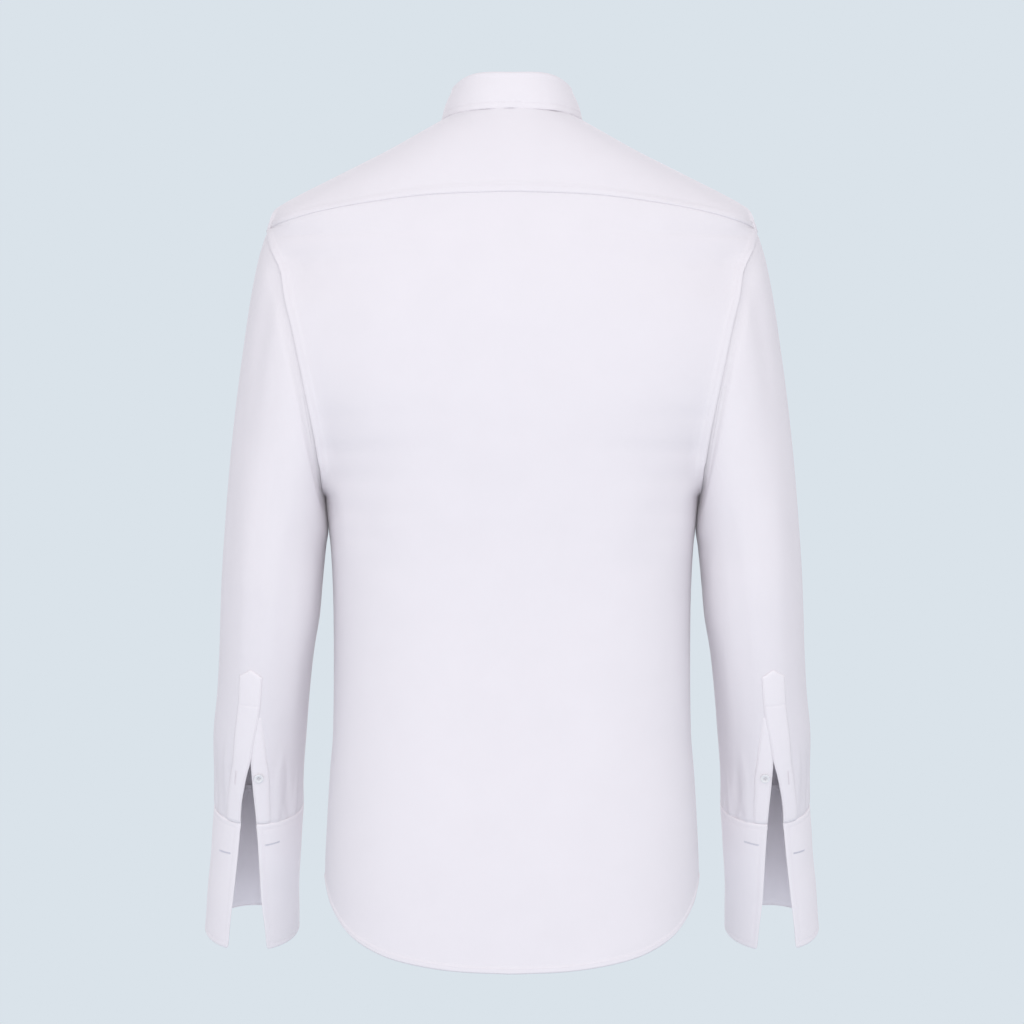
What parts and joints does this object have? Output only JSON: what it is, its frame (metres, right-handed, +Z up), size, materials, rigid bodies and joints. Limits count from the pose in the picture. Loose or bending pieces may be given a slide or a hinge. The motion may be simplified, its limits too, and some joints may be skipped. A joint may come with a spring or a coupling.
{
  "type": "long sleeve dress shirt",
  "caption": "Long sleeve woven dress shirt with turn-down collar, back yoke, curved hem, open double cuffs and sleeve plackets, filled out as worn.",
  "frame": {"origin": "centre of the neck opening at the height where the neck seam crosses the shoulder line", "axes": "+Z up along the body, +Y to the back of the shirt, +X to the wearer's left"},
  "size_m": [0.5824, 0.2744, 0.8116],
  "materials": {
    "cotton": "matte",
    "pearl": "gloss"
  },
  "bodies": {
    "root": {"back": "cotton", "yoke": "cotton", "front_left": "cotton", "front_right": "cotton", "collar_stand": "cotton", "collar_fall": "cotton", "sleeve_left": "cotton", "sleeve_right": "cotton", "cuff_left": "cotton", "cuff_right": "cotton", "placket_left": "cotton", "placket_right": "cotton", "binding_left": "cotton", "binding_right": "cotton", "button_front_1": "pearl", "button_front_2": "pearl", "button_front_3": "pearl", "button_front_4": "pearl", "button_front_5": "pearl", "button_front_6": "pearl", "button_front_7": "pearl", "button_collar": "pearl", "button_placket_left": "pearl", "button_placket_right": "pearl"}
  },
  "joints": []
}
